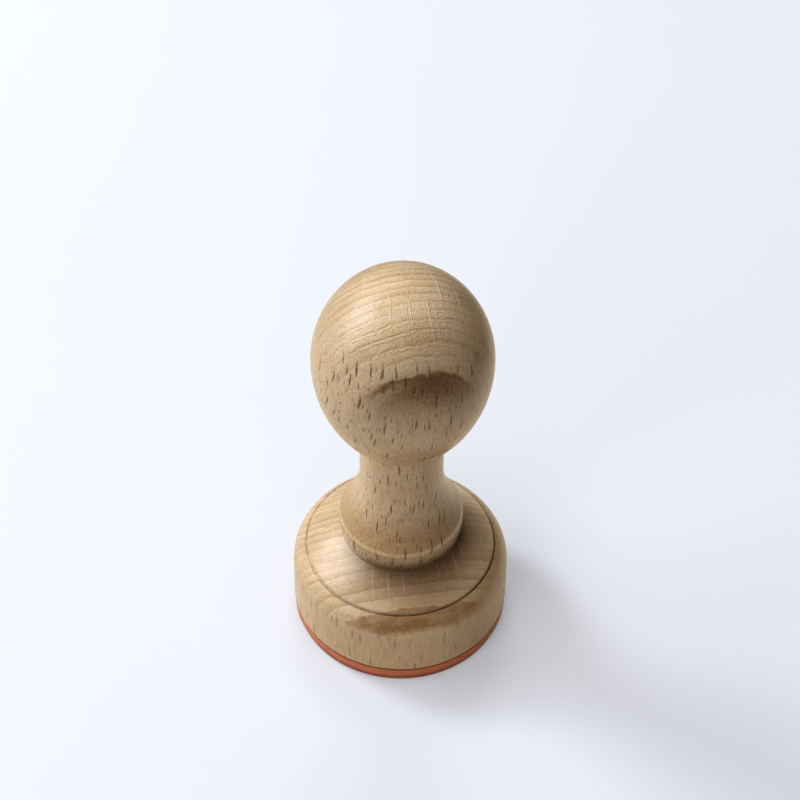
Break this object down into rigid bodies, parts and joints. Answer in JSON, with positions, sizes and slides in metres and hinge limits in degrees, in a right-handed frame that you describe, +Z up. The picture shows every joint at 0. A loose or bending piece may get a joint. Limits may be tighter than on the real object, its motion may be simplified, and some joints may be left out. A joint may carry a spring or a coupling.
{
  "type": "rubber stamp",
  "caption": "Hand stamp: a one-piece turned beech handle with a round knob, slim neck and domed base, and a round engraved rubber die stuck under it.",
  "frame": {"origin": "centre of the printing face, on the turning axis", "axes": "+Z up along the turning axis, from the printing face to the crown of the knob; +X to the right and +Y away as the stamp faces the viewer. The growth rings of the wood curve round a line behind the stamp, at -X +Y"},
  "size_m": [0.03, 0.03, 0.0636],
  "materials": {
    "oiled_beech": "satin",
    "clear_adhesive": "gloss",
    "red_rubber": "matte"
  },
  "bodies": {
    "root": {"turned_handle": "oiled_beech", "adhesive_film": "clear_adhesive", "rubber_die": "red_rubber"}
  },
  "joints": []
}
